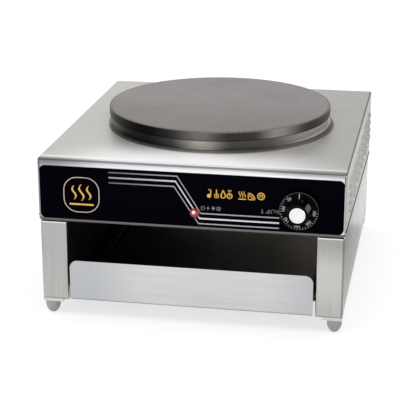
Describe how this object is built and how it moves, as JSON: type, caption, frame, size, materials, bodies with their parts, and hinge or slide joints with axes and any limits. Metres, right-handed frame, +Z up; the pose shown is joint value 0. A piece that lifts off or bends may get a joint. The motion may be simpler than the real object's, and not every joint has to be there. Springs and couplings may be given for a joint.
{
  "type": "electric crepe maker",
  "caption": "Countertop electric crepe maker: round cast griddle plate on a stainless housing with a thermostat knob, an indicator lamp, a warming compartment and a sliding tray.",
  "frame": {"origin": "on the worktop, at the centre of the footprint of the whole object", "axes": "+X to the user's right, +Y to the rear, +Z up"},
  "size_m": [0.4572, 0.5426, 0.2715],
  "materials": {
    "brushed_steel": "fine brushed stainless sheet",
    "liner_steel": "heat-darkened sheet",
    "bright_steel": "plain bright steel",
    "tray_steel": "smooth satin stainless sheet",
    "fascia_black": "glossy printed panel",
    "lens_red": "clear red lens",
    "black_plastic": "moulded",
    "black_rubber": "moulded",
    "ceramic_white": "unglazed steatite",
    "copper": "drawn copper tube",
    "brass": "plain brass",
    "cast_iron": "machined and seasoned",
    "element_steel": "oxidised sheath",
    "wool_white": "ceramic fibre blanket",
    "wire_sleeve": "glass-fibre sleeve",
    "knob_black": "moulded, printed in white",
    "knob_silver": "satin disc",
    "foot_grey": "moulded"
  },
  "bodies": {
    "housing": {"top_cover": "brushed_steel", "left_side_panel": "brushed_steel", "right_side_panel": "brushed_steel", "rear_panel": "brushed_steel", "housing_floor": "liner_steel", "left_inner_wall": "liner_steel", "right_inner_wall": "liner_steel", "inner_back_wall": "liner_steel", "left_tray_rail": "bright_steel", "right_tray_rail": "bright_steel", "fascia_panel": "fascia_black", "indicator_lens": "lens_red", "indicator_body": "black_plastic", "indicator_nut": "black_plastic", "thermostat_bracket": "bright_steel", "thermostat_screws": "bright_steel", "thermostat_body": "ceramic_white", "sensing_bulb": "copper", "bulb_clip": "bright_steel", "capillary_tube": "copper", "griddle_plate": "cast_iron", "plate_collar": "bright_steel", "inner_heating_element": "element_steel", "outer_heating_element": "element_steel", "clamp_plate": "bright_steel", "insulation_disc": "wool_white", "insulation_pan": "bright_steel", "plate_studs": "bright_steel", "plate_nuts": "bright_steel", "front_support_bar": "bright_steel", "rear_support_bar": "bright_steel", "bar_bolts": "bright_steel", "foot_brackets": "bright_steel", "foot_weld_nuts": "bright_steel", "cable_gland": "black_plastic", "gland_nut": "black_plastic", "terminal_block": "ceramic_white", "floor_grommet": "black_rubber", "earth_stud": "brass", "wiring": "wire_sleeve", "rear_panel_screws": "bright_steel", "cover_screws": "bright_steel"},
    "knob": {"knob_skirt": "knob_black", "knob_grip": "knob_black", "knob_cap": "knob_silver", "thermostat_shaft": "bright_steel"},
    "tray": {"tray_pan": "tray_steel", "tray_front": "tray_steel"},
    "foot_front_left": {"foot_front_left": "foot_grey", "foot_stud_front_left": "bright_steel"},
    "foot_rear_left": {"foot_rear_left": "foot_grey", "foot_stud_rear_left": "bright_steel"},
    "foot_front_right": {"foot_front_right": "foot_grey", "foot_stud_front_right": "bright_steel"},
    "foot_rear_right": {"foot_rear_right": "foot_grey", "foot_stud_rear_right": "bright_steel"}
  },
  "joints": [
    {"name": "knob_turn", "type": "hinge", "parent": "housing", "child": "knob", "pos_m": [0.159, -0.24155, 0.1885], "axis": [0, -1, 0], "range_deg": [-270, 0]},
    {"name": "tray_slide", "type": "slide", "parent": "housing", "child": "tray", "axis": [0, -1, 0], "range_m": [0, 0.36]},
    {"name": "foot_front_left_level", "type": "slide", "parent": "housing", "child": "foot_front_left", "axis": [0, 0, -1], "range_m": [0, 0.01]},
    {"name": "foot_rear_left_level", "type": "slide", "parent": "housing", "child": "foot_rear_left", "axis": [0, 0, -1], "range_m": [0, 0.01]},
    {"name": "foot_front_right_level", "type": "slide", "parent": "housing", "child": "foot_front_right", "axis": [0, 0, -1], "range_m": [0, 0.01]},
    {"name": "foot_rear_right_level", "type": "slide", "parent": "housing", "child": "foot_rear_right", "axis": [0, 0, -1], "range_m": [0, 0.01]}
  ]
}
